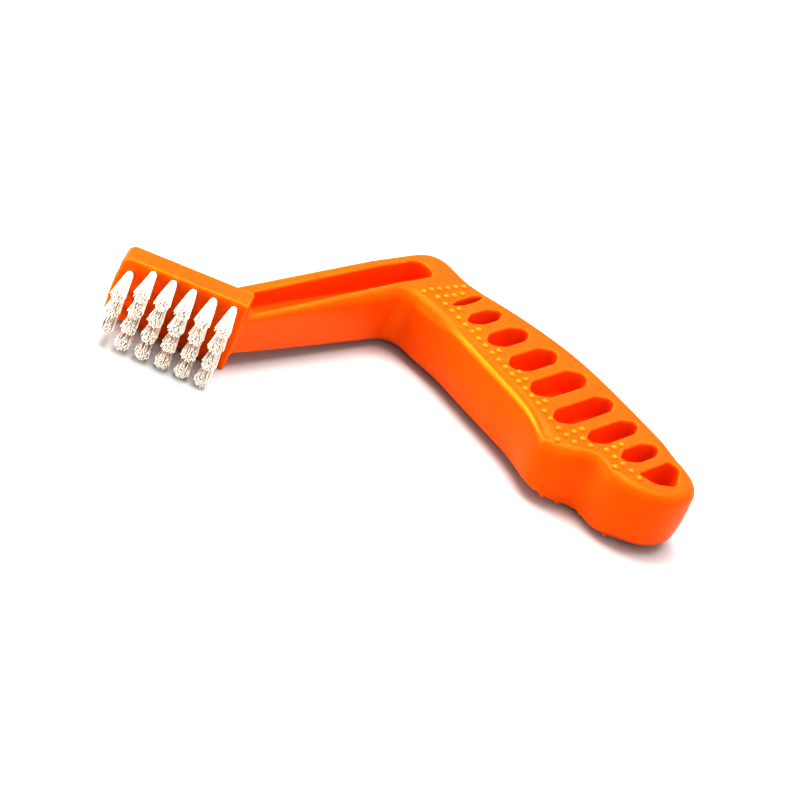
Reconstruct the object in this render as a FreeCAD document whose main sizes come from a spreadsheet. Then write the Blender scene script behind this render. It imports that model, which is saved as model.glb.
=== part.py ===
import FreeCAD, Part
import math
import os
import Sketcher

# Angled cleaning brush: one moulded handle (grip, neck and head) with 23 bristle tufts, each
# folded over a flat wire anchor that is driven into its hole in the head.
# The brush lies on its side. It is drawn about its mid-plane (Z = 0, the mould's parting plane)
# with the grip along +X, the neck running towards -Y and the head at the far end of the neck.

DIMENSIONS = {
    # grip
    "grip_thickness": 19.5,
    "web_thickness": 2.5,
    "crown_radius": 30.0,
    "crown_start_x": -44.0,
    "crown_start_y": -14.0,
    "crown_reach": 16.0,
    "rim_fillet": 1.5,
    "elbow_fillet": 4.5,
    # neck
    "neck_root_y": -14.0,
    "neck_end_y": -90.0,
    "neck_slope": 0.059,
    # head
    "head_length": 38.2,
    "head_depth": 8.5,
    "heel_height": 23.0,
    "tip_height": 20.0,
    "tip_corner_radius": 2.5,
    "heel_corner_radius": 0.8,
    "head_angle": 31.0,
    "heel_x": -59.6,
    "heel_y": -76.4,
    # tufts and anchors
    "tuft_columns": 6,
    "tuft_rows": 4,
    "column_pitch": 6.15,
    "heel_margin": 3.8,
    "row_pitch_heel": 5.85,
    "row_pitch_tip": 5.6,
    "hole_radius": 1.1,
    "hole_depth": 6.0,
    "tuft_root_radius": 1.05,
    "trim_length": 14.5,
    "tuft_tip_radius": 2.7,
    "anchor_width": 2.8,
    "anchor_height": 1.6,
    "anchor_gauge": 0.35,
    "anchor_floor": 0.7,
    # place of the drawing's origin in the row's frame
    "shift_x": 21.445,
    "shift_y": 44.58,
}

NODE_FOLDER = "parts"

# How far a cutting profile stands clear of the stock, and how long the crown's cut runs past
# the end of the grip.
CUT_CLEARANCE = 5.0
CROWN_CUT_LENGTH = 120.0

# An edge is on the rim where one of its faces has |normal.z| under FLAT_LIMIT and the other one
# over STEEP_LIMIT, as far down the neck as RIM_END_Y.
FLAT_LIMIT = 0.2
STEEP_LIMIT = 0.8
RIM_END_Y = -74.0
UPRIGHT_LIMIT = 0.99
SAME_PLACE = 0.5

FULL_TURN = 360.0

doc = FreeCAD.newDocument("cleaning_brush")
sheet = doc.addObject("Spreadsheet::Sheet", "dims")
for row, (alias, value) in enumerate(DIMENSIONS.items(), start=1):
    sheet.set("A%d" % row, alias)
    sheet.set("B%d" % row, str(value))
    sheet.setAlias("B%d" % row, alias)
doc.recompute()


def dim(alias):
    return float(sheet.get(alias))


# ---------------------------------------------------------------- sketch helpers


def vector(point):
    return FreeCAD.Vector(point[0], point[1], 0.0)


def line(start, end):
    return Part.LineSegment(vector(start), vector(end))


def closed_lines(points):
    """Straight lines from each point to the next and back to the first."""
    count = len(points)
    return [line(points[index], points[(index + 1) % count]) for index in range(count)]


def arc(start, middle, end):
    return Part.Arc(vector(start), vector(middle), vector(end))


def curve(points, leave, arrive):
    """Smooth curve through the points with the directions of its two ends."""
    spline = Part.BSplineCurve()
    spline.interpolate(
        Points=[vector(point) for point in points],
        InitialTangent=vector(leave),
        FinalTangent=vector(arrive),
    )
    return spline


def unit(start, end):
    length = math.hypot(end[0] - start[0], end[1] - start[1])
    return ((end[0] - start[0]) / length, (end[1] - start[1]) / length)


def rounded_polygon(corners):
    """Closed outline of straight sides; corners are (x, y, radius), anticlockwise."""
    count = len(corners)
    fillets = []
    for index, (x, y, radius) in enumerate(corners):
        back = unit((x, y), corners[index - 1][:2])
        ahead = unit((x, y), corners[(index + 1) % count][:2])
        half = math.acos(back[0] * ahead[0] + back[1] * ahead[1]) / 2
        reach = radius / math.tan(half)
        middle = unit((0, 0), (back[0] + ahead[0], back[1] + ahead[1]))
        depth = radius / math.sin(half) - radius
        first = (x + back[0] * reach, y + back[1] * reach)
        last = (x + ahead[0] * reach, y + ahead[1] * reach)
        top = (x + middle[0] * depth, y + middle[1] * depth)
        fillets.append((first, top, last))
    geometry = []
    for index, (first, top, last) in enumerate(fillets):
        geometry.append(arc(first, top, last))
        geometry.append(line(last, fillets[(index + 1) % count][0]))
    return geometry


def origin_plane(body, role):
    return next(feature for feature in body.Origin.OriginFeatures if feature.Role == role)


def add_sketch(body, name, role, geometry, offset=None, chained=True):
    """Sketch on one of the body's own planes; a chained outline is closed point to point."""
    sketch = body.newObject("Sketcher::SketchObject", name)
    sketch.AttachmentSupport = [(origin_plane(body, role), "")]
    sketch.MapMode = "FlatFace"
    if offset is not None:
        sketch.AttachmentOffset = offset
    for shape in geometry:
        sketch.addGeometry(shape, False)
    if chained:
        count = len(geometry)
        for index in range(count):
            follower = (index + 1) % count
            sketch.addConstraint(Sketcher.Constraint("Coincident", index, 2, follower, 1))
    return sketch


def add_feature(body, kind, name, sketch, length, **settings):
    """Pad or pocket of a sketch whose length is an expression on the sheet."""
    feature = body.newObject("PartDesign::" + kind, name)
    feature.Profile = sketch
    feature.setExpression("Length", length)
    for key, value in settings.items():
        setattr(feature, key, value)
    doc.recompute()
    return feature


def mirror_through_mid_plane(body, name, features):
    mirror = body.newObject("PartDesign::Mirrored", name)
    mirror.Originals = features
    mirror.MirrorPlane = (origin_plane(body, "XY_Plane"), [""])
    body.Tip = mirror
    doc.recompute()
    return mirror


# ---------------------------------------------------------------- outlines of the handle

# Outline of the grip from the elbow along the back edge, round the end and back along the
# finger side to the inner elbow.
ELBOW_START = (-66.6, -6.0)
BACK_EDGE = [
    (-65.9, 0.0),
    (-65.1, 5.2),
    (-62.9, 10.0),
    (-58.6, 12.2),
    (-53.4, 12.0),
    (-48.0, 11.6),
    (-38.0, 13.9),
    (-24.0, 17.2),
    (-9.0, 18.8),
    (9.0, 17.5),
    (28.0, 14.5),
    (42.0, 11.7),
]
END_EDGE = [(50.7, 7.1), (53.8, -1.4), (50.2, -11.8), (43.2, -16.9)]
LOBE_EDGE = [(37.0, -18.3), (33.0, -17.5), (30.1, -16.9)]
SCOOP_EDGE = [(26.4, -20.0), (22.4, -23.9), (17.0, -26.0)]
FINGER_EDGE = [(8.0, -22.9), (-7.0, -19.0), (-27.0, -15.5), (-44.0, -13.8)]
INNER_ELBOW = (-51.2, -13.4)

NECK_OUTLINE = [(-66.6, -6.0), (-74.8, -75.5), (-68.7, -71.8), (-60.3, -76.6), (-51.2, -13.4), (-55.0, -2.0)]

# Blind pockets of the grip: middle, width, and the two ends across the grip.
GRIP_POCKETS = [
    (-41.1, 2.8, -4.4, 10.4),
    (-33.1, 5.6, -5.6, 10.2),
    (-23.1, 7.0, -7.2, 11.4),
    (-12.0, 7.7, -9.3, 12.5),
    (-0.5, 8.2, -12.3, 13.0),
    (11.6, 7.4, -15.6, 12.0),
    (22.5, 6.7, -12.2, 11.0),
    (32.8, 6.5, -8.3, 8.6),
]
POCKET_CHAMFER = 4.4
POCKET_END_SHARE = 0.16
POCKET_ROUNDING_SHARE = 0.17
END_POCKET = [(39.2, -9.0, 1.0), (45.4, -7.0, 1.6), (48.6, -1.0, 2.0), (43.0, 7.4, 1.4), (39.0, 6.6, 1.4)]

SLOT_OUTLINE = [(-53.7, 3.3, 4.0), (-62.2, 3.3, 4.0), (-69.9, -67.2, 1.0), (-61.3, -70.2, 1.0)]


def grip_outline():
    """Closed outline of the grip; it overlaps the neck at the elbow."""
    edge = [ELBOW_START] + BACK_EDGE + END_EDGE + LOBE_EDGE + SCOOP_EDGE + FINGER_EDGE
    along_neck = unit(NECK_OUTLINE[1], ELBOW_START)
    to_elbow = unit(FINGER_EDGE[-1], INNER_ELBOW)
    return [
        curve(edge, along_neck, to_elbow),
        line(FINGER_EDGE[-1], INNER_ELBOW),
        line(INNER_ELBOW, ELBOW_START),
    ]


def pocket_outline(middle, width, near, far):
    """Long recess across the grip with chamfered, rounded ends."""
    side = width / 2
    end = width * POCKET_END_SHARE
    rounding = width * POCKET_ROUNDING_SHARE
    return rounded_polygon([
        (middle - end, near, rounding),
        (middle + end, near, rounding),
        (middle + side, near + POCKET_CHAMFER, rounding),
        (middle + side, far - POCKET_CHAMFER, rounding),
        (middle + end, far, rounding),
        (middle - end, far, rounding),
        (middle - side, far - POCKET_CHAMFER, rounding),
        (middle - side, near + POCKET_CHAMFER, rounding),
    ])


# ---------------------------------------------------------------- tuft positions


def tuft_positions():
    """Name, distance from the heel and height above the mid-plane of each tuft."""
    positions = []
    columns = int(dim("tuft_columns"))
    full_rows = int(dim("tuft_rows"))
    narrowing = (dim("row_pitch_heel") - dim("row_pitch_tip")) / (columns - 1)
    for column in range(columns):
        along = dim("heel_margin") + column * dim("column_pitch")
        pitch = dim("row_pitch_heel") - column * narrowing
        rows = full_rows if column < columns - 1 else full_rows - 1
        for row in range(rows):
            height = (row - (rows - 1) / 2) * pitch
            name = "tuft_c%d_r%d" % (column + 1, row + 1)
            positions.append((name, along, height))
    return positions


def head_offset(depth=0.0):
    """Sketch offset on XZ_Plane that puts it on the bristle face, or that much below it.

    The sketch's X runs from tip to heel with 0 at the heel and its normal is the way the
    bristles point.
    """
    angle = math.radians(dim("head_angle"))
    base = FreeCAD.Vector(
        dim("heel_x") - math.sin(angle) * depth,
        0.0,
        -dim("heel_y") - math.cos(angle) * depth,
    )
    return FreeCAD.Placement(base, FreeCAD.Rotation(FreeCAD.Vector(0, 1, 0), dim("head_angle")))


def head_place(along, height, depth=0.0):
    """Placement on the bristle face: local +Z is the way the bristles point, +X the heel."""
    angle = math.radians(dim("head_angle"))
    toward_heel = FreeCAD.Vector(math.cos(angle), math.sin(angle), 0)
    outward = FreeCAD.Vector(math.sin(angle), -math.cos(angle), 0)
    base = FreeCAD.Vector(dim("heel_x") + dim("shift_x"), dim("heel_y") + dim("shift_y"), 0)
    base = base - toward_heel * along - outward * depth
    base.z = height + dim("heel_height") / 2
    turn = FreeCAD.Rotation(toward_heel, FreeCAD.Vector(0, 0, 1), outward, "XZY")
    return FreeCAD.Placement(base, turn)


# ---------------------------------------------------------------- handle


def add_neck(body):
    """Neck of constant width that thins evenly from the grip to the head."""
    sketch = add_sketch(body, "neck_outline", "XY_Plane", closed_lines(NECK_OUTLINE))
    add_feature(body, "Pad", "neck", sketch, "dims.grip_thickness", Midplane=True)
    top = dim("grip_thickness") / 2
    root = dim("neck_root_y")
    end = dim("neck_end_y")
    clear = top + CUT_CLEARANCE
    drop = (root - end) * dim("neck_slope")
    wedge = [(root, top), (root, clear), (end, clear), (end, top - drop)]
    sketch = add_sketch(body, "neck_taper_profile", "YZ_Plane", closed_lines(wedge))
    taper = body.newObject("PartDesign::Pocket", "neck_taper")
    taper.Profile = sketch
    taper.Type = "ThroughAll"
    taper.Midplane = True
    doc.recompute()
    mirror_through_mid_plane(body, "neck_taper_below", [taper])


def add_grip(body):
    sketch = add_sketch(body, "grip_outline", "XY_Plane", grip_outline())
    add_feature(body, "Pad", "grip", sketch, "dims.grip_thickness", Midplane=True)


def add_crown(body):
    """Falls the finger side of the grip away in an arc, above and below."""
    radius = dim("crown_radius")
    top = dim("grip_thickness") / 2
    start = dim("crown_start_y")
    clear = top + CUT_CLEARANCE
    reach = dim("crown_reach")
    middle = reach / 2
    low = (start - reach, top - radius + math.sqrt(radius ** 2 - reach ** 2))
    half = (start - middle, top - radius + math.sqrt(radius ** 2 - middle ** 2))
    outline = [
        arc((start, top), half, low),
        line(low, (low[0], clear)),
        line((low[0], clear), (start, clear)),
        line((start, clear), (start, top)),
    ]
    offset = FreeCAD.Placement(FreeCAD.Vector(0, 0, dim("crown_start_x")), FreeCAD.Rotation())
    sketch = add_sketch(body, "crown_profile", "YZ_Plane", outline, offset)
    crown = body.newObject("PartDesign::Pocket", "crown")
    crown.Profile = sketch
    crown.Type = "Length"
    crown.Length = CROWN_CUT_LENGTH
    crown.Reversed = True
    doc.recompute()
    mirror_through_mid_plane(body, "crown_below", [crown])


def edges_where(shape, test):
    """Names of the edges that pass a test of their own curve and their faces' normals."""
    names = []
    for number, edge in enumerate(shape.Edges, start=1):
        middle = edge.valueAt((edge.FirstParameter + edge.LastParameter) / 2)
        normals = []
        for face in shape.ancestorsOfType(edge, Part.Face):
            u, v = face.Surface.parameter(middle)
            normals.append(face.normalAt(u, v))
        if len(normals) == 2 and test(edge, middle, normals):
            names.append("Edge%d" % number)
    return names


def add_fillet(body, name, radius, test):
    base = body.Tip
    edges = edges_where(base.Shape, test)
    fillet = body.newObject("PartDesign::Fillet", name)
    fillet.Base = (base, edges)
    fillet.setExpression("Radius", radius)
    doc.recompute()
    return fillet


def is_inner_elbow(edge, middle, normals):
    upright = abs(edge.tangentAt(edge.FirstParameter).z) > UPRIGHT_LIMIT
    away = math.hypot(middle.x - INNER_ELBOW[0], middle.y - INNER_ELBOW[1])
    return upright and away < SAME_PLACE


def is_rim(edge, middle, normals):
    """Outer edge between a side wall and a broad face, clear of the head's end."""
    flat, steep = sorted(abs(normal.z) for normal in normals)
    return flat < FLAT_LIMIT and steep > STEEP_LIMIT and middle.y > RIM_END_Y


def add_head(body):
    length = dim("head_length")
    heel = dim("heel_height") / 2
    tip = dim("tip_height") / 2
    corner = dim("tip_corner_radius")
    heel_corner = dim("heel_corner_radius")
    outline = rounded_polygon([
        (0.0, -heel, heel_corner),
        (0.0, heel, heel_corner),
        (-length, tip, corner),
        (-length, -tip, corner),
    ])
    sketch = add_sketch(body, "head_outline", "XZ_Plane", outline, head_offset())
    add_feature(body, "Pad", "head", sketch, "dims.head_depth", Reversed=True)


def add_recesses(body):
    """Neck slot and grip pockets, the same from above and below, with a web between."""
    level = FreeCAD.Placement(FreeCAD.Vector(0, 0, dim("grip_thickness") / 2), FreeCAD.Rotation())
    depth = "(dims.grip_thickness - dims.web_thickness) / 2"
    sketch = add_sketch(body, "slot_outline", "XY_Plane", rounded_polygon(SLOT_OUTLINE), level)
    recesses = [add_feature(body, "Pocket", "neck_slot", sketch, depth)]
    outlines = [pocket_outline(*recess) for recess in GRIP_POCKETS]
    outlines.append(rounded_polygon(END_POCKET))
    for number, outline in enumerate(outlines, start=1):
        name = "grip_pocket_%d" % number
        sketch = add_sketch(body, name + "_outline", "XY_Plane", outline, level)
        recesses.append(add_feature(body, "Pocket", name, sketch, depth))
    mirror_through_mid_plane(body, "recesses_below", recesses)


def add_tuft_holes(body):
    circles = []
    slits = []
    side = dim("anchor_width") / 2
    half = dim("anchor_gauge") / 2
    for _, along, height in tuft_positions():
        centre = FreeCAD.Vector(-along, height, 0)
        circles.append(Part.Circle(centre, FreeCAD.Vector(0, 0, 1), dim("hole_radius")))
        box = [
            (-along - side, height - half),
            (-along + side, height - half),
            (-along + side, height + half),
            (-along - side, height + half),
        ]
        slits += closed_lines(box)
    sketch = add_sketch(body, "hole_circles", "XZ_Plane", circles, head_offset(), chained=False)
    for index in range(len(circles)):
        constraint = sketch.addConstraint(Sketcher.Constraint("Radius", index, dim("hole_radius")))
        sketch.setExpression("Constraints[%d]" % constraint, "dims.hole_radius")
    add_feature(body, "Pocket", "tuft_holes", sketch, "dims.hole_depth")
    top = dim("hole_depth") - dim("anchor_floor") - dim("anchor_height")
    sketch = add_sketch(body, "anchor_slits", "XZ_Plane", slits, head_offset(top), chained=False)
    add_feature(body, "Pocket", "anchor_seats", sketch, "dims.anchor_height")


def make_handle():
    body = doc.addObject("PartDesign::Body", "handle")
    body.Label = "handle"
    add_neck(body)
    add_grip(body)
    add_fillet(body, "elbow_fillet", "dims.elbow_fillet", is_inner_elbow)
    add_crown(body)
    add_fillet(body, "rim_fillet", "dims.rim_fillet", is_rim)
    add_head(body)
    add_recesses(body)
    add_tuft_holes(body)
    body.Placement.Base = FreeCAD.Vector(dim("shift_x"), dim("shift_y"), dim("heel_height") / 2)
    return body


# ---------------------------------------------------------------- tufts and anchors


def make_tuft(name, along, height):
    """Bundle of filaments: a cylinder in its hole that flares to the trimmed end."""
    body = doc.addObject("PartDesign::Body", name)
    body.Label = name
    root = dim("tuft_root_radius")
    tip = dim("tuft_tip_radius")
    bottom = -dim("hole_depth")
    trim = dim("trim_length")
    profile = [(0, bottom), (root, bottom), (root, 0), (tip, trim), (0, trim)]
    outline = closed_lines(profile)
    sketch = add_sketch(body, name + "_profile", "XZ_Plane", outline)
    bundle = body.newObject("PartDesign::Revolution", name + "_bundle")
    bundle.Profile = sketch
    bundle.ReferenceAxis = (sketch, ["V_Axis"])
    bundle.Angle = FULL_TURN
    half = dim("anchor_gauge") / 2
    floor = bottom + dim("anchor_floor")
    roof = floor + dim("anchor_height")
    slit = [(-half, floor), (half, floor), (half, roof), (-half, roof)]
    outline = closed_lines(slit)
    sketch = add_sketch(body, name + "_fold", "YZ_Plane", outline)
    fold = body.newObject("PartDesign::Pocket", name + "_anchor_gap")
    fold.Profile = sketch
    fold.Type = "ThroughAll"
    fold.Midplane = True
    body.Placement = head_place(along, height)
    return body


def make_anchors():
    """Flat wire anchors, one across the bottom of each hole."""
    anchors = []
    depth = dim("hole_depth") - dim("anchor_floor")
    for name, along, height in tuft_positions():
        anchor = doc.addObject("Part::Box", "anchor_" + name)
        anchor.setExpression("Length", "dims.anchor_width")
        anchor.setExpression("Width", "dims.anchor_gauge")
        anchor.setExpression("Height", "dims.anchor_height")
        place = head_place(along, height, depth)
        centre = FreeCAD.Vector(-dim("anchor_width") / 2, -dim("anchor_gauge") / 2, 0)
        place.Base = place.multVec(centre)
        anchor.Placement = place
        anchors.append(anchor)
    group = doc.addObject("Part::Compound", "tuft_anchors")
    group.Label = "tuft_anchors"
    group.Links = anchors
    return group


nodes = [make_handle()]
for tuft_name, distance, level in tuft_positions():
    nodes.append(make_tuft(tuft_name, distance, level))
nodes.append(make_anchors())
doc.recompute()

for item in doc.Objects:
    if "Invalid" in item.State or "Error" in item.State:
        raise RuntimeError("%s failed to build" % item.Name)
for node in nodes:
    if node.Shape.isNull() or not node.Shape.isValid():
        raise RuntimeError("%s has no valid shape" % node.Label)

os.makedirs(NODE_FOLDER, exist_ok=True)
for node in nodes:
    node.Shape.exportStep(os.path.join(NODE_FOLDER, node.Label + ".step"))

whole = Part.makeCompound([node.Shape for node in nodes]).BoundBox
print("nodes", len(nodes))
print("box x %.2f %.2f  y %.2f %.2f  z %.2f %.2f" % (
    whole.XMin, whole.XMax, whole.YMin, whole.YMax, whole.ZMin, whole.ZMax))
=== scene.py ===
import math

import bpy
import numpy as np
from mathutils import Matrix, Vector


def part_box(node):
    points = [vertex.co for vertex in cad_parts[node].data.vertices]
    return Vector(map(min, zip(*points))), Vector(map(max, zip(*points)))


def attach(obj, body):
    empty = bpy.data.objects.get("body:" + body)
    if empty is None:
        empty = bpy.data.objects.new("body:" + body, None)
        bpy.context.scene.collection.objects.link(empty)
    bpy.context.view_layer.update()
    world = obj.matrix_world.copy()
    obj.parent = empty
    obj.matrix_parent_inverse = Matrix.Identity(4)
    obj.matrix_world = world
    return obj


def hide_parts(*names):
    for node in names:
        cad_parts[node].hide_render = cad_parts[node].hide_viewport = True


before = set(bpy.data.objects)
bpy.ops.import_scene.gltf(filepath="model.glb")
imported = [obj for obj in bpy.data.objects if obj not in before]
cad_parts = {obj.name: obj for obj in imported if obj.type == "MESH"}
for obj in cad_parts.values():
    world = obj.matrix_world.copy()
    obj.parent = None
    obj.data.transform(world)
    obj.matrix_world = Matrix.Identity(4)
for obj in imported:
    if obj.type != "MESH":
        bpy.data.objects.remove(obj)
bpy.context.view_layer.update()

# Angled cleaning brush, lying on its side: one orange moulding and 23 tufts of nylon filaments.
# Lengths are in millimetres until a mesh is made. The drawing is the plan of the handle about
# its mid-plane; SHIFT takes it to the frame.
MM = 0.001
SHIFT = (21.445, 44.58, 11.5)
BODY = "root"
RANDOM_SEED = 7
FULL_TURN = 2 * math.pi
UNIT = np.eye(3, dtype=int)

rng = np.random.default_rng(RANDOM_SEED)

# ---------------------------------------------------------------- outlines from the frame

# Heights above the mid-plane of the slices that give the outline and the recesses, and the
# rounding of the recesses' corners in plan.
OUTLINE_LEVEL = 1.18
RECESS_LEVEL = 4.3
RECESS_SOFTENING = 0.75
SAMPLE_PITCH = 0.25
FEWEST_SAMPLES = 16
SAME_POINT_DECIMALS = 3


def mesh_arrays(obj):
    """Vertices in millimetres and triangles of a CAD node."""
    mesh = obj.data
    co = np.empty(len(mesh.vertices) * 3)
    mesh.vertices.foreach_get("co", co)
    mesh.calc_loop_triangles()
    tri = np.empty(len(mesh.loop_triangles) * 3, np.int64)
    mesh.loop_triangles.foreach_get("vertices", tri)
    return co.reshape(-1, 3) / MM, tri.reshape(-1, 3)


def slice_loops(obj, height):
    """Closed plan outlines of a node at a height above its mid-plane, longest first."""
    points, triangles = mesh_arrays(obj)
    level = height + SHIFT[2]
    above = points[triangles][:, :, 2] > level
    mixed = above.any(1) & ~above.all(1)
    follow = {}
    for tri, up in zip(triangles[mixed], above[mixed]):
        lone = int(np.argmax(up == (up.sum() == 1)))
        a, b, c = points[tri[lone]], points[tri[(lone + 1) % 3]], points[tri[(lone + 2) % 3]]
        first = a + (b - a) * ((level - a[2]) / (b[2] - a[2]))
        last = a + (c - a) * ((level - a[2]) / (c[2] - a[2]))
        if up[lone]:
            first, last = last, first
        key = tuple(np.round(first[:2], SAME_POINT_DECIMALS))
        end = tuple(np.round(last[:2], SAME_POINT_DECIMALS))
        if key != end:
            follow[key] = end
    loops = []
    while follow:
        start, point = follow.popitem()
        loop = [start]
        while point in follow:
            loop.append(point)
            point = follow.pop(point)
        loops.append(np.array(loop) - SHIFT[:2])
    lengths = [np.linalg.norm(np.diff(loop, axis=0), axis=1).sum() for loop in loops]
    return [loops[i] for i in np.argsort(lengths)[::-1]]


def softened(loop, spread):
    """Closed outline with its corners rounded by a running average along its length."""
    ends = np.roll(loop, -1, axis=0)
    run = np.concatenate([[0], np.cumsum(np.hypot(*(ends - loop).T))])
    count = max(int(run[-1] / SAMPLE_PITCH), FEWEST_SAMPLES)
    at = np.arange(count) * run[-1] / count
    closed = np.vstack([loop, loop[:1]])
    line = np.stack([np.interp(at, run, closed[:, 0]), np.interp(at, run, closed[:, 1])], 1)
    waves = np.fft.fftfreq(count, run[-1] / count)
    keep = np.exp(-2 * (math.pi * spread * waves) ** 2)
    return np.fft.ifft(np.fft.fft(line, axis=0) * keep[:, None], axis=0).real


# ---------------------------------------------------------------- distance fields

STEP = 0.4
MARGIN = 2.0
REACH = 9.0
TINY = 1e-12

handle_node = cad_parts["handle"]
low_corner, high_corner = (np.array(corner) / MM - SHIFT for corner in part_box("handle"))
axis_x = np.arange(low_corner[0] - MARGIN, high_corner[0] + MARGIN, STEP)
axis_y = np.arange(low_corner[1] - MARGIN, high_corner[1] + MARGIN, STEP)
half_layers = int((SHIFT[2] + MARGIN) / STEP) + 1
axis_z = np.arange(-half_layers, half_layers + 1) * STEP
grid_x, grid_y = np.meshgrid(axis_x, axis_y, indexing="ij")


def near_cells(axis, a, b):
    """Cells of an axis within REACH of the span from a to b."""
    return slice(*np.searchsorted(axis, [min(a, b) - REACH, max(a, b) + REACH]))


def plan_distance(loop):
    """Signed distance on the plan grid to a closed outline, negative inside, capped at REACH."""
    far = np.full(grid_x.shape, REACH)
    inside = np.zeros(grid_x.shape, bool)
    for (x0, y0), (x1, y1) in zip(loop, np.roll(loop, -1, axis=0)):
        cells = near_cells(axis_x, x0, x1), near_cells(axis_y, y0, y1)
        px, py = grid_x[cells] - x0, grid_y[cells] - y0
        dx, dy = x1 - x0, y1 - y0
        share = np.clip((px * dx + py * dy) / max(dx * dx + dy * dy, TINY), 0, 1)
        far[cells] = np.minimum(far[cells], np.hypot(px - share * dx, py - share * dy))
        crossed = np.flatnonzero((axis_y >= min(y0, y1)) & (axis_y < max(y0, y1)))
        for row in crossed:
            at = x0 + dx * (axis_y[row] - y0) / dy
            inside[np.searchsorted(axis_x, at):, row] ^= True
    return np.where(inside, -far, far)


def smooth(value, start, end):
    """Rises from 0 at start to 1 at end with flat ends."""
    share = np.clip((value - start) / (end - start), 0, 1)
    return share * share * (3 - 2 * share)


def round_and(a, b, radius):
    """Intersection of two solids with its outer edge rounded."""
    return np.minimum(-radius, np.maximum(a, b)) + np.hypot(
        np.maximum(a + radius, 0), np.maximum(b + radius, 0))


def round_or(a, b, radius):
    """Union of two solids with a fillet in the corner between them."""
    return np.maximum(radius, np.minimum(a, b)) - np.hypot(
        np.maximum(radius - a, 0), np.maximum(radius - b, 0))


# ---------------------------------------------------------------- heights and edges of the grip

GRIP_HALF = 9.75
WEB_HALF = 1.25
NECK_ROOT = -14.0
NECK_SLOPE = 0.059
CROWN_RADIUS = 30.0
CROWN_REACH = 16.0
CROWN_SPAN = (-49.0, -41.0)

# The lip and the valley inside it: distance in from the outline, width and height. The lip runs
# over LIP_START to LIP_END along the grip, on the side of the fingers.
LIP_INSET = 0.95
LIP_WIDTH = 0.85
LIP_RISE = 0.6
VALLEY_INSET = 3.2
VALLEY_WIDTH = 1.2
VALLEY_DEPTH = 0.35
LIP_START = (-41, -24)
LIP_END = (15.2, 17.2)
LIP_SIDE_Y = -8

# Spans over which a stretch of the rim starts or ends: along the grip, and for the two _SIDE
# ones across it, towards the fingers.
ELBOW_START = (-60, -50)
ELBOW_END = (-44, -24)
SCOOP_START = (14, 20)
SCOOP_END = (29, 33)
END_START = (30, 40)
LOW_END_START = (37, 47)
FINGER_START = (-46, -38)
FINGER_END = (12, 22)
FINGER_SIDE = (6, 11)
SCOOP_SIDE = (12, 16)
UPPER_RIM = {"plain": 1.5, "elbow": 2.6, "scoop": 1.2, "end": 1.9}
LOWER_RIM = {"plain": 0.8, "elbow": 2.4, "finger": 1.6, "end": 2.4}

# The same for the lean of the walls.
LEAN_GRIP = (-60, -46)
LEAN_SIDE = (8, 14)
LEAN_START = (-44, -30)
LEAN_FINGER_END = (14, 24)
LEAN_END_START = (36, 48)
LEAN = {"plain": 0.35, "grip": 0.45, "side": 0.6}
UPPER_LEAN_END = -0.4
LOWER_LEAN_FINGER = 0.7
LOWER_LEAN_END = 0.5


def half_height(x, y):
    """Height of the upper face above the mid-plane."""
    past = np.maximum(NECK_ROOT - y, 0)
    dip = np.minimum(past, CROWN_REACH)
    crown = CROWN_RADIUS - np.sqrt(CROWN_RADIUS ** 2 - dip ** 2)
    share = smooth(x, *CROWN_SPAN)
    return GRIP_HALF - past * NECK_SLOPE * (1 - share) - crown * share


def rim_radius(x, y, upper):
    """Radius of the edge between the walls and the upper or lower face."""
    near = smooth(-y, *FINGER_SIDE)
    elbow = smooth(x, *ELBOW_START) * (1 - smooth(x, *ELBOW_END)) * near
    if upper:
        scoop = smooth(x, *SCOOP_START) * (1 - smooth(x, *SCOOP_END)) * smooth(-y, *SCOOP_SIDE)
        return (UPPER_RIM["plain"] + UPPER_RIM["elbow"] * elbow + UPPER_RIM["scoop"] * scoop
                + UPPER_RIM["end"] * smooth(x, *END_START))
    finger = smooth(x, *FINGER_START) * (1 - smooth(x, *FINGER_END)) * near
    return (LOWER_RIM["plain"] + LOWER_RIM["elbow"] * elbow
            + LOWER_RIM["finger"] * finger * (1 - elbow)
            + LOWER_RIM["end"] * smooth(x, *LOW_END_START))


def wall_lean(x, y, upper):
    """How far the wall leans in from the mid-plane to the upper or lower face."""
    side = smooth(-y, *LEAN_SIDE) * smooth(x, *LEAN_START)
    end = smooth(x, *LEAN_END_START)
    both = LEAN["plain"] + LEAN["grip"] * smooth(x, *LEAN_GRIP) + LEAN["side"] * side
    if upper:
        return both + UPPER_LEAN_END * end
    finger = side * (1 - smooth(x, *LEAN_FINGER_END))
    return both + LOWER_LEAN_FINGER * finger + LOWER_LEAN_END * end


# ---------------------------------------------------------------- head and tufts

HEEL = np.array([-59.6, -76.4])
HEAD_ANGLE = math.radians(31)
TO_HEEL = np.array([math.cos(HEAD_ANGLE), math.sin(HEAD_ANGLE)])
OUTWARD = np.array([math.sin(HEAD_ANGLE), -math.cos(HEAD_ANGLE)])
HEAD_LENGTH = 38.2
HEAD_DEPTH = 8.5
HEAD_INSET = 0.05
HEEL_HALF = 11.5
TIP_HALF = 10.0
HEEL_CORNER = 0.8
TIP_CORNER = 2.5
HEAD_ROUNDING = 0.9

HOLE_RADIUS = 1.1
HOLE_DEPTH = 6.0
HOLE_MOUTH = 0.35
HOLE_CLEARANCE = 1.5

COLUMNS = 6
FULL_COLUMNS = 5
ROWS = 4
FIRST_COLUMN = 3.8
COLUMN_PITCH = 6.15
ROW_PITCH = 5.85
ROW_PITCH_LOSS = 0.05


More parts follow.
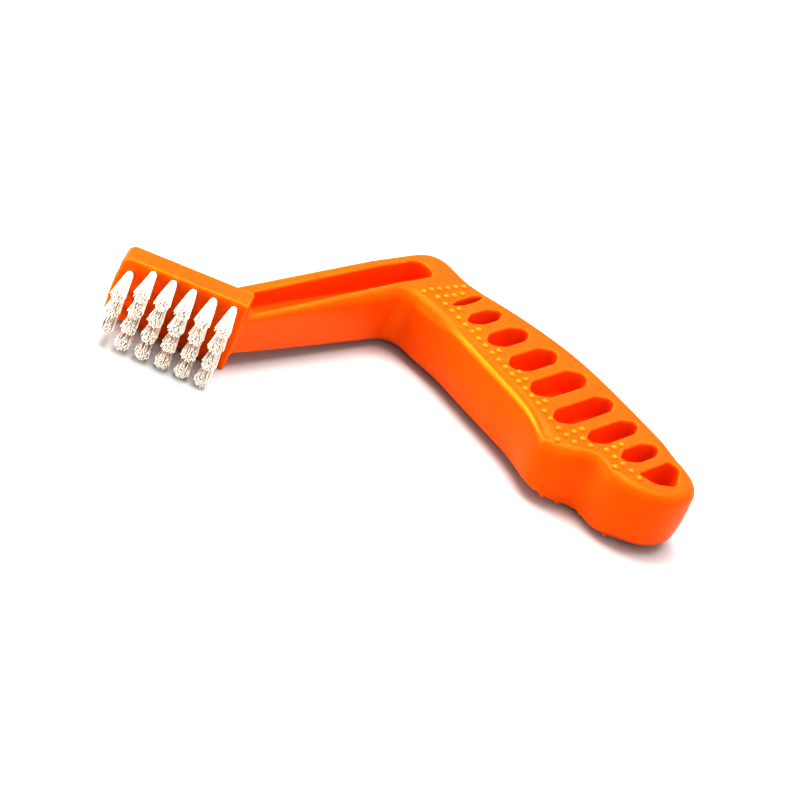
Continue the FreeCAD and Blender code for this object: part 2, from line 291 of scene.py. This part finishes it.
def tuft_places():
    """Name, distance from the heel and height above the mid-plane of each tuft."""
    places = []
    for column in range(COLUMNS):
        rows = ROWS if column < FULL_COLUMNS else ROWS - 1
        pitch = ROW_PITCH - ROW_PITCH_LOSS * column
        for row in range(rows):
            name = "c%d_r%d" % (column + 1, row + 1)
            height = (row - (rows - 1) / 2) * pitch
            places.append((name, FIRST_COLUMN + COLUMN_PITCH * column, height))
    return places


def head_field(along, out, z):
    """Tapered plate of the head at a height above the mid-plane."""
    half = HEEL_HALF + (HEEL_HALF - TIP_HALF) * along / HEAD_LENGTH
    corner = HEEL_CORNER + (TIP_CORNER - HEEL_CORNER) * np.clip(-along / HEAD_LENGTH, 0, 1)
    ends = np.maximum(along, -HEAD_LENGTH - along) + HEAD_INSET
    face = round_and(ends, abs(z) - half, corner)
    slab = np.maximum(out, -HEAD_DEPTH - out)
    return round_and(face, slab, HEAD_ROUNDING)


def cut_holes(field, along, out, z):
    """The field with the tufts' holes taken out of it."""
    for _, distance, height in tuft_places():
        if abs(z - height) < HOLE_RADIUS + HOLE_CLEARANCE:
            hole = np.hypot(along + distance, z - height) - HOLE_RADIUS
            hole = np.maximum(hole, -HOLE_DEPTH - out)
            field = round_and(field, -hole, HOLE_MOUTH)
    return field


# ---------------------------------------------------------------- the moulding

RECESS_GROWTH = 0.25
RECESS_DRAFT = 0.03
RECESS_FLOOR_FILLET = 1.0
RECESS_MOUTH = 0.8
HEAD_FILLET = 0.8

# Painted highlight: share on outer edges, the bend that starts it and the bend that completes it,
# and the lip's own band of painted highlight, which fades in over a span of heights above the
# mid-plane.
EDGE_HIGHLIGHT = 0.45
EDGE_BEND = 0.5
EDGE_BEND_SPAN = 1.5
LIP_HIGHLIGHT_INSET = 0.75
LIP_HIGHLIGHT_WIDTH = 0.75
LIP_HIGHLIGHT_HEIGHTS = (7.6, 8.8)

# Rounds of smoothing that leave the volume as it is: inwards, then outwards.
RELAXING = (0.5, -0.52, 0.5, -0.52)

outer = plan_distance(slice_loops(handle_node, OUTLINE_LEVEL)[0])
cavity = np.full(grid_x.shape, REACH)
for recess_loop in slice_loops(handle_node, RECESS_LEVEL)[1:]:
    cavity = np.minimum(cavity, plan_distance(softened(recess_loop, RECESS_SOFTENING)))


def bell(inset, width):
    """Band along the outline: 1 at the inset, falling off over the width."""
    return np.exp(-((outer + inset) / width) ** 2)


def lip_run():
    """Share of the finger edge's relief over the plan grid."""
    along = smooth(grid_x, *LIP_START) * (1 - smooth(grid_x, *LIP_END))
    return along * (grid_y < LIP_SIDE_Y)


def upper_relief():
    """Raised lip along the finger edge of the upper face and the shallow valley inside it."""
    lip = LIP_RISE * bell(LIP_INSET, LIP_WIDTH)
    valley = VALLEY_DEPTH * bell(VALLEY_INSET, VALLEY_WIDTH)
    return lip_run() * (lip - valley)


def handle_field():
    """Signed distance to the moulding on the whole grid, layer by layer."""
    plain = half_height(grid_x, grid_y)
    height = [plain, plain + upper_relief()]
    rim = [rim_radius(grid_x, grid_y, upper) for upper in (False, True)]
    lean = [wall_lean(grid_x, grid_y, upper) for upper in (False, True)]
    from_heel = np.stack([grid_x - HEEL[0], grid_y - HEEL[1]], -1)
    along = from_heel @ TO_HEEL
    out = from_heel @ OUTWARD
    field = np.empty(grid_x.shape + (len(axis_z),), np.float32)
    for layer, z in enumerate(axis_z):
        up = abs(z)
        upper = int(z > 0)
        wall = outer + lean[upper] * (up / GRIP_HALF) ** 2
        solid = round_and(wall, up - height[upper], rim[upper])
        mouth = cavity + RECESS_GROWTH + RECESS_DRAFT * (GRIP_HALF - up)
        recess = round_and(mouth, WEB_HALF - up, RECESS_FLOOR_FILLET)
        solid = round_and(solid, -recess, RECESS_MOUTH)
        solid = round_or(solid, head_field(along, out, z), HEAD_FILLET)
        field[:, :, layer] = cut_holes(solid, along, out, z)
    return field


def surface_of(field):
    """Vertices in grid units and quads of the zero level of a field, one vertex per mixed cell."""
    inside = field < 0
    cells = tuple(size - 1 for size in field.shape)
    count = np.zeros(cells, np.int8)
    for corner in np.ndindex(2, 2, 2):
        count += inside[tuple(slice(c, c + n) for c, n in zip(corner, cells))]
    mixed = (count > 0) & (count < 8)
    place = np.argwhere(mixed)
    number = np.full(cells, -1, np.int64)
    number[mixed] = np.arange(len(place))
    total = np.zeros((len(place), 3))
    hits = np.zeros(len(place))
    quads = []
    for axis, side in enumerate(UNIT):
        u, v = UNIT[(axis + 1) % 3], UNIT[(axis + 2) % 3]
        for start in (0 * u, u, v, u + v):
            a = field[tuple((place + start).T)].astype(float)
            b = field[tuple((place + start + side).T)].astype(float)
            cut = (a < 0) != (b < 0)
            share = np.where(cut, a / np.where(cut, a - b, 1), 0)
            total += np.where(cut[:, None], start + share[:, None] * side, 0)
            hits += cut
        here = tuple(slice(0, n - s) for n, s in zip(field.shape, side))
        there = tuple(slice(s, n) for n, s in zip(field.shape, side))
        edges = np.argwhere(inside[here] != inside[there])
        leaving = inside[tuple(edges.T)]
        quad = np.stack([number[tuple((edges - back).T)] for back in (u + v, v, 0 * u, u)], 1)
        quad[~leaving] = quad[~leaving][:, ::-1]
        quads.append(quad)
    return place + total / hits[:, None], np.concatenate(quads)


def painted_highlight_share(field, points):
    """Painted highlight on the surface at points in grid units: outer edges a little, the lip
    fully.
    """
    bend = np.zeros(field.shape, np.float32)
    for axis in range(3):
        bend += np.roll(field, 1, axis) + np.roll(field, -1, axis) - 2 * field
    cell = np.floor(points).astype(int)
    share = points - cell
    total = np.zeros(len(points))
    for corner in np.ndindex(2, 2, 2):
        weight = np.prod(np.where(corner, share, 1 - share), axis=1)
        total += weight * bend[tuple((cell + corner).T)]
    edge = EDGE_HIGHLIGHT * np.clip((total / STEP ** 2 - EDGE_BEND) / EDGE_BEND_SPAN, 0, 1)
    lip = lip_run() * bell(LIP_HIGHLIGHT_INSET, LIP_HIGHLIGHT_WIDTH)
    height = points[:, 2] * STEP + axis_z[0]
    return edge + lip[tuple(cell[:, :2].T)] * smooth(height, *LIP_HIGHLIGHT_HEIGHTS)


def relaxed(points, quads):
    """Points after rounds of smoothing that keep the volume."""
    ends = np.concatenate([quads[:, [k, (k + 1) % 4]] for k in range(4)])
    ends = np.unique(np.sort(ends, axis=1), axis=0)
    size = len(points)
    count = np.bincount(ends.ravel(), minlength=size)[:, None]
    for weight in RELAXING:
        total = np.stack([
            np.bincount(ends[:, 0], points[ends[:, 1], axis], size)
            + np.bincount(ends[:, 1], points[ends[:, 0], axis], size) for axis in range(3)], 1)
        points = points + weight * (total / count - points)
    return points


def make_mesh(name, points, faces):
    """Object with a smooth-shaded mesh from frame coordinates in metres."""
    mesh = bpy.data.meshes.new(name)
    mesh.from_pydata(points.tolist(), [], faces)
    mesh.polygons.foreach_set("use_smooth", np.ones(len(faces), bool))
    mesh.update()
    obj = bpy.data.objects.new(name, mesh)
    bpy.context.scene.collection.objects.link(obj)
    return obj


def set_attribute(obj, name, values):
    layer = obj.data.attributes.new(name, "FLOAT", "POINT")
    layer.data.foreach_set("value", np.asarray(values, np.float32))


def make_handle():
    field = handle_field()
    points, quads = surface_of(field)
    # Painted highlight share of each vertex: pale outer edges and a pale band along the lip.
    highlight_share = painted_highlight_share(field, points)
    points = relaxed(points, quads) * STEP + [axis_x[0], axis_y[0], axis_z[0]] + np.array(SHIFT)
    obj = make_mesh("handle_moulding", points * MM, quads.tolist())
    set_attribute(obj, "painted_highlight", highlight_share)
    return obj


# ---------------------------------------------------------------- grip dots

DOT_PITCH = 3.3
DOT_RADIUS = 1.0
DOT_HEIGHT = 0.75
DOT_SINK = 0.15
DOT_RINGS = 5
DOT_TURNS = 14
# Painted highlight share of the dots: strong on the upper face, weak on the lower.
UPPER_DOT_HIGHLIGHT = 0.85
LOWER_DOT_HIGHLIGHT = 0.3
ELBOW_DOTS = [
    (-49.0, -9.1), (-48.9, -5.8), (-48.3, -2.6), (-47.7, 0.6), (-47.1, 3.8), (-46.5, 7.0),
    (-45.3, -6.7), (-44.7, -3.3), (-44.2, -0.1), (-43.9, 3.3)]

# Two rows that follow the finger margin from DOTS_START: a slope, and a bend past BEND_X.
DOTS_START = (-41.9, -6.9)
DOT_COLUMNS = 17
MARGIN_SLOPE = 0.165
MARGIN_BEND = 0.002
BEND_X = -15

# A grid over the free end.
END_DOTS_START = (14.9, -21.5)
END_DOT_COLUMNS = 9
END_DOT_ROWS = 6
END_DOT_ROW_PITCH = 3.6

# Dots keep clear of the outline, the recesses and the far half of the grip. Past END_X the
# clearance of the outline follows the rim.
OUTLINE_CLEARANCE = 4.6
END_X = 17.5
RIM_CLEARANCE = 1.0
RECESS_CLEARANCE = 1.35
HIGHEST_DOT_Y = -2.5


def dot_places(upper):
    """Plan places of the raised dots of one face: the elbow end and the finger margin."""
    spots = []
    start_x, start_y = DOTS_START
    for column in range(DOT_COLUMNS):
        x = start_x + DOT_PITCH * column
        y = start_y - MARGIN_SLOPE * (x - start_x) - MARGIN_BEND * max(x - BEND_X, 0) ** 2
        spots += [(x, y), (x, y + DOT_PITCH)]
    for column in range(END_DOT_COLUMNS):
        x = END_DOTS_START[0] + DOT_PITCH * column
        spots += [(x, END_DOTS_START[1] + END_DOT_ROW_PITCH * row) for row in range(END_DOT_ROWS)]
    places = list(ELBOW_DOTS)
    for x, y in spots:
        i = int(round((x - axis_x[0]) / STEP))
        j = int(round((y - axis_y[0]) / STEP))
        inset = OUTLINE_CLEARANCE if x < END_X else rim_radius(x, y, upper) + RIM_CLEARANCE
        if outer[i, j] < -inset and cavity[i, j] > RECESS_CLEARANCE and y < HIGHEST_DOT_Y:
            places.append((x, y))
    return places


def make_dots(name, side, painted_highlight):
    """Low round domes on a broad face of the grip; side is 1 above and -1 below, and the last
    argument is the dots' painted highlight share.
    """
    points, faces = [], []
    for x, y in dot_places(side > 0):
        base = len(points)
        top = float(half_height(x, y))
        points.append((x, y, (top + DOT_HEIGHT) * side))
        for ring in range(1, DOT_RINGS + 1):
            angle = ring / DOT_RINGS * math.pi / 2
            reach = DOT_RADIUS * math.sin(angle)
            z = (top - DOT_SINK + (DOT_HEIGHT + DOT_SINK) * math.cos(angle)) * side
            for turn in range(DOT_TURNS):
                around = FULL_TURN * turn / DOT_TURNS
                points.append((x + reach * math.cos(around), y + reach * math.sin(around), z))
        for turn in range(DOT_TURNS):
            after = (turn + 1) % DOT_TURNS
            faces.append([base, base + 1 + turn, base + 1 + after][::side])
            for ring in range(DOT_RINGS - 1):
                a = base + 1 + ring * DOT_TURNS
                b = a + DOT_TURNS
                faces.append([a + turn, b + turn, b + after, a + after][::side])
        last = base + 1 + (DOT_RINGS - 1) * DOT_TURNS
        faces.append([last + turn for turn in range(DOT_TURNS)][::-side])
    obj = make_mesh(name, (np.array(points) + SHIFT) * MM, faces)
    # Every vertex of the dots carries the same painted highlight share.
    set_attribute(obj, "painted_highlight", np.full(len(points), painted_highlight))
    return obj


# ---------------------------------------------------------------- filaments

FILAMENTS = 66
FILAMENT_RADIUS = 0.19
FILAMENT_RINGS = 9
FILAMENT_SIDES = 6
LAST_RING_SHARE = 0.985
TIP_RADIUS_SHARE = 0.45
TRIM = 14.5
ROOT_DEPTH = 1.5
ROOT_SPREAD = 0.9
TIP_SPREAD = 2.42
SPLAY_POWER = 0.9
GOLDEN_ANGLE = math.pi * (3 - math.sqrt(5))

# Irregularity of a tuft: turn in radians, share of the spread, loss of length in the outer
# filaments, loss at random, and wave.
START_TURN = 6.28
TURN_SCATTER = 0.12
SHARE_SCATTER = 0.06
WIDEST_SHARE = 1.03
OUTER_LOSS = 0.9
RANDOM_LOSS = 0.35
WAVE = 0.12


def on_circle(angle, radius):
    """Points round a centre at angles and radii of the same shape."""
    return np.stack([np.cos(angle), np.sin(angle)], 1) * radius[:, None]


def make_tuft(name, distance, height):
    """Bundle of separate filaments that leave their hole and splay to the trimmed end."""
    turn = np.arange(FILAMENTS) * GOLDEN_ANGLE + rng.uniform(0, START_TURN)
    root_share = np.sqrt((np.arange(FILAMENTS) + 0.5) / FILAMENTS)
    tip_turn = turn + rng.normal(0, TURN_SCATTER, FILAMENTS)
    tip_share = root_share + rng.normal(0, SHARE_SCATTER, FILAMENTS)
    tip_share = np.clip(tip_share, 0, WIDEST_SHARE)
    length = TRIM - OUTER_LOSS * tip_share ** 2 - rng.uniform(0, RANDOM_LOSS, FILAMENTS)
    wave = rng.uniform(-WAVE, WAVE, (FILAMENTS, 2))
    tint = rng.uniform(0, 1, FILAMENTS)
    root = on_circle(turn, root_share * ROOT_SPREAD)
    tip = on_circle(tip_turn, tip_share * TIP_SPREAD)
    rings, sides = FILAMENT_RINGS, FILAMENT_SIDES
    ring_share = np.linspace(0, 1, rings)
    ring_share[-2] = LAST_RING_SHARE
    out = -ROOT_DEPTH + (length[:, None] + ROOT_DEPTH) * ring_share
    place = (np.clip(out / TRIM, 0, 1) ** SPLAY_POWER)[:, :, None]
    centre = root[:, None, :] + (tip - root)[:, None, :] * place
    centre += wave[:, None, :] * np.sin(place * math.pi)
    radius = np.full((rings, 1), FILAMENT_RADIUS)
    radius[-1] *= TIP_RADIUS_SHARE
    angle = np.arange(sides) * FULL_TURN / sides
    ring_x = centre[:, :, None, 0] + radius * np.cos(angle)
    ring_y = centre[:, :, None, 1] + radius * np.sin(angle)
    ring_out = np.broadcast_to(out[:, :, None], ring_x.shape)
    plan = HEEL + (ring_x - distance)[..., None] * TO_HEEL + ring_out[..., None] * OUTWARD
    points = np.concatenate([plan, (ring_y + height)[..., None]], -1).reshape(-1, 3)
    faces = []
    for base in range(0, len(points), rings * sides):
        for a in range(base, base + (rings - 1) * sides, sides):
            b = a + sides
            for k in range(sides):
                n = (k + 1) % sides
                faces.append([a + k, b + k, b + n, a + n])
        faces.append([b + k for k in range(sides - 1, -1, -1)])
        faces.append([base + k for k in range(sides)])
    obj = make_mesh(name, (points + SHIFT) * MM, faces)
    set_attribute(obj, "tint", np.repeat(tint, rings * sides))
    return obj


# ---------------------------------------------------------------- materials


class Finish:
    """A material with its nodes, and short ways to add noise, colours and grain to it."""

    def __init__(self, name):
        self.material = bpy.data.materials.new(name)
        self.material.use_nodes = True
        self.nodes = self.material.node_tree.nodes
        self.links = self.material.node_tree.links
        self.shader = self.nodes["Principled BSDF"]
        self.coords = self.nodes.new("ShaderNodeTexCoord")

    def noise(self, scale, detail):
        node = self.nodes.new("ShaderNodeTexNoise")
        node.inputs["Scale"].default_value = scale
        node.inputs["Detail"].default_value = detail
        self.links.new(self.coords.outputs["Object"], node.inputs["Vector"])
        return node.outputs["Fac"]

    def attribute(self, name):
        node = self.nodes.new("ShaderNodeAttribute")
        node.attribute_name = name
        return node.outputs["Fac"]

    def colours(self, source, start, first, end, last):
        """Colour of a value: first up to start, last from end on, and a mix between them."""
        node = self.nodes.new("ShaderNodeValToRGB")
        for stop, position, colour in zip(node.color_ramp.elements, (start, end), (first, last)):
            stop.position = position
            stop.color = (*colour, 1)
        self.links.new(source, node.inputs["Fac"])
        return node.outputs["Color"]

    def greys(self, source, start, first, end, last):
        return self.colours(source, start, (first,) * 3, end, (last,) * 3)

    def product(self, a, b):
        node = self.nodes.new("ShaderNodeMath")
        node.operation = "MULTIPLY"
        self.links.new(a, node.inputs[0])
        self.links.new(b, node.inputs[1])
        return node.outputs["Value"]

    def mixed(self, factor, under, over):
        """Colour output under, covered by the plain colour over as far as the factor says."""
        node = self.nodes.new("ShaderNodeMix")
        node.data_type = "RGBA"
        self.links.new(factor, node.inputs["Factor"])
        self.links.new(under, node.inputs["A"])
        node.inputs["B"].default_value = (*over, 1)
        return node.outputs["Result"]

    def bump(self, source, strength, distance):
        node = self.nodes.new("ShaderNodeBump")
        node.inputs["Strength"].default_value = strength
        node.inputs["Distance"].default_value = distance
        self.links.new(source, node.inputs["Height"])
        self.links.new(node.outputs["Normal"], self.shader.inputs["Normal"])

    def drive(self, socket, source):
        self.links.new(source, self.shader.inputs[socket])

    def set(self, **values):
        """Shader values by socket name, with _ for a space."""
        for name, value in values.items():
            self.shader.inputs[name.replace("_", " ")].default_value = value


def orange_plastic():
    finish = Finish("moulded_orange")
    cloud = finish.noise(45.0, 3.0)
    tone = finish.colours(cloud, 0.3, (0.75, 0.098, 0.0005), 0.7, (0.75, 0.116, 0.0008))
    # Painted highlight: convex edges, the lip and the dots turn pale golden as far as their
    # attribute says, broken up at random by noise.
    highlight_breakup = finish.greys(finish.noise(260.0, 2.0), 0.2, 0.7, 0.7, 1.0)
    broken_highlight = finish.product(finish.attribute("painted_highlight"), highlight_breakup)
    edge = finish.greys(broken_highlight, 0.0, 0.0, 0.9, 1.0)
    finish.drive("Base Color", finish.mixed(edge, tone, (0.95, 0.27, 0.012)))
    finish.drive("Roughness", finish.greys(cloud, 0.2, 0.36, 0.8, 0.46))
    finish.set(
        IOR=1.49, Specular_IOR_Level=0.35, Specular_Tint=(1.0, 0.68, 0.04, 1),
        Subsurface_Weight=0.25, Subsurface_Radius=(1.0, 0.2, 0.05), Subsurface_Scale=0.002)
    finish.bump(finish.noise(1600.0, 2.0), 0.12, 0.0002)
    return finish.material


def nylon():
    finish = Finish("nylon_bristle")
    tint = finish.attribute("tint")
    finish.drive("Base Color", finish.colours(
        tint, 0.0, (0.97, 0.86, 0.77), 1.0, (0.99, 0.91, 0.84)))
    speck = finish.noise(2500.0, 1.0)
    finish.drive("Roughness", finish.greys(speck, 0.2, 0.28, 0.8, 0.45))
    finish.set(
        Subsurface_Weight=0.3, Subsurface_Radius=(1.0, 0.8, 0.6), Subsurface_Scale=0.0006)
    finish.bump(speck, 0.1, 0.0001)
    return finish.material


def brass():
    finish = Finish("anchor_wire")
    stain = finish.noise(900.0, 3.0)
    finish.drive("Base Color", finish.colours(
        stain, 0.3, (0.60, 0.42, 0.16), 0.7, (0.83, 0.64, 0.30)))
    finish.drive("Roughness", finish.greys(stain, 0.2, 0.25, 0.8, 0.45))
    finish.set(Metallic=1.0)
    finish.bump(stain, 0.15, 0.0001)
    return finish.material


def pale_floor():
    finish = Finish("pale_floor")
    finish.drive("Base Color", finish.greys(finish.noise(4.0, 2.0), 0.0, 0.61, 1.0, 0.63))
    finish.set(Roughness=0.7, Specular_IOR_Level=0.1)
    return finish.material


# ---------------------------------------------------------------- the object


def dress(piece, material):
    """The piece in its material, riding on the brush's one body."""
    piece.data.materials.append(material)
    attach(piece, BODY)
    return piece


plastic = orange_plastic()
filament = nylon()

moulding = dress(make_handle(), plastic)
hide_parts("handle")
dress(make_dots("grip_dots_upper", 1, UPPER_DOT_HIGHLIGHT), plastic)
dress(make_dots("grip_dots_lower", -1, LOWER_DOT_HIGHLIGHT), plastic)
for place_name, heel_distance, tuft_height in tuft_places():
    tuft = make_tuft("bristles_" + place_name, heel_distance, tuft_height)
    dress(tuft, filament)
    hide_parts("tuft_" + place_name)

anchor_material = brass()
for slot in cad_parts["tuft_anchors"].material_slots:
    slot.material = anchor_material

# ---------------------------------------------------------------- floor, light and camera

FLOOR_HALF = 3.0
WORLD_STRENGTH = 0.85

# Name, place, target, size (metres) and power (watts) of each disc light.
LIGHTS = [
    ("key_left", (-0.36, 0.06, 0.92), (0, 0, 0), 0.7, 14.0),
    ("key_back", (0.06, 0.22, 0.96), (0, 0, 0), 0.7, 8.5),
    ("fill", (0.7, -0.6, 0.35), (0, 0, 0), 0.6, 1.5),
    ("head_kicker", (-0.24, -0.28, 0.06), (-0.065, -0.06, 0.008), 0.2, 1.0)]

AIM = Vector((-7.0, 13.3, 1.75)) * MM
AZIMUTH, ELEVATION, ROLL = (math.radians(angle) for angle in (29.5, 31.0, 24.8))
DISTANCE = 1.015
LENS = 157.5
SENSOR_WIDTH = 36.0
CLIP_START = 0.01
VIEW_GAMMA = 0.72

scene = bpy.context.scene


def make_floor():
    corners = [(-1, -1, 0), (1, -1, 0), (1, 1, 0), (-1, 1, 0)]
    floor = make_mesh("floor", np.array(corners) * FLOOR_HALF, [[0, 1, 2, 3]])
    floor.data.materials.append(pale_floor())


def light_world():
    world = bpy.data.worlds.new("studio")
    world.use_nodes = True
    background = world.node_tree.nodes["Background"]
    background.inputs["Color"].default_value = (1, 1, 1, 1)
    background.inputs["Strength"].default_value = WORLD_STRENGTH
    scene.world = world


def area_light(name, place, target, size, power):
    data = bpy.data.lights.new(name, "AREA")
    data.shape = "DISK"
    data.size = size
    data.energy = power
    lamp = bpy.data.objects.new(name, data)
    scene.collection.objects.link(lamp)
    lamp.location = place
    lamp.rotation_euler = (Vector(target) - Vector(place)).to_track_quat("-Z", "Y").to_euler()


def make_camera():
    """Long lens at the photograph's azimuth and elevation, rolled about its own axis."""
    right = Vector((math.cos(AZIMUTH), math.sin(AZIMUTH), 0))
    back = Vector((math.sin(AZIMUTH) * math.cos(ELEVATION),
                   -math.cos(AZIMUTH) * math.cos(ELEVATION), math.sin(ELEVATION)))
    level_up = back.cross(right)
    image_x = right * math.cos(ROLL) + level_up * math.sin(ROLL)
    image_y = level_up * math.cos(ROLL) - right * math.sin(ROLL)
    data = bpy.data.cameras.new("camera")
    data.lens = LENS
    data.sensor_width = SENSOR_WIDTH
    data.clip_start = CLIP_START
    camera = bpy.data.objects.new("camera", data)
    scene.collection.objects.link(camera)
    turn = Matrix((image_x, image_y, back)).transposed().to_4x4()
    camera.matrix_world = Matrix.Translation(AIM + back * DISTANCE) @ turn
    scene.camera = camera


make_floor()
light_world()
for light in LIGHTS:
    area_light(*light)
make_camera()
scene.view_settings.view_transform = "Standard"
scene.view_settings.gamma = VIEW_GAMMA
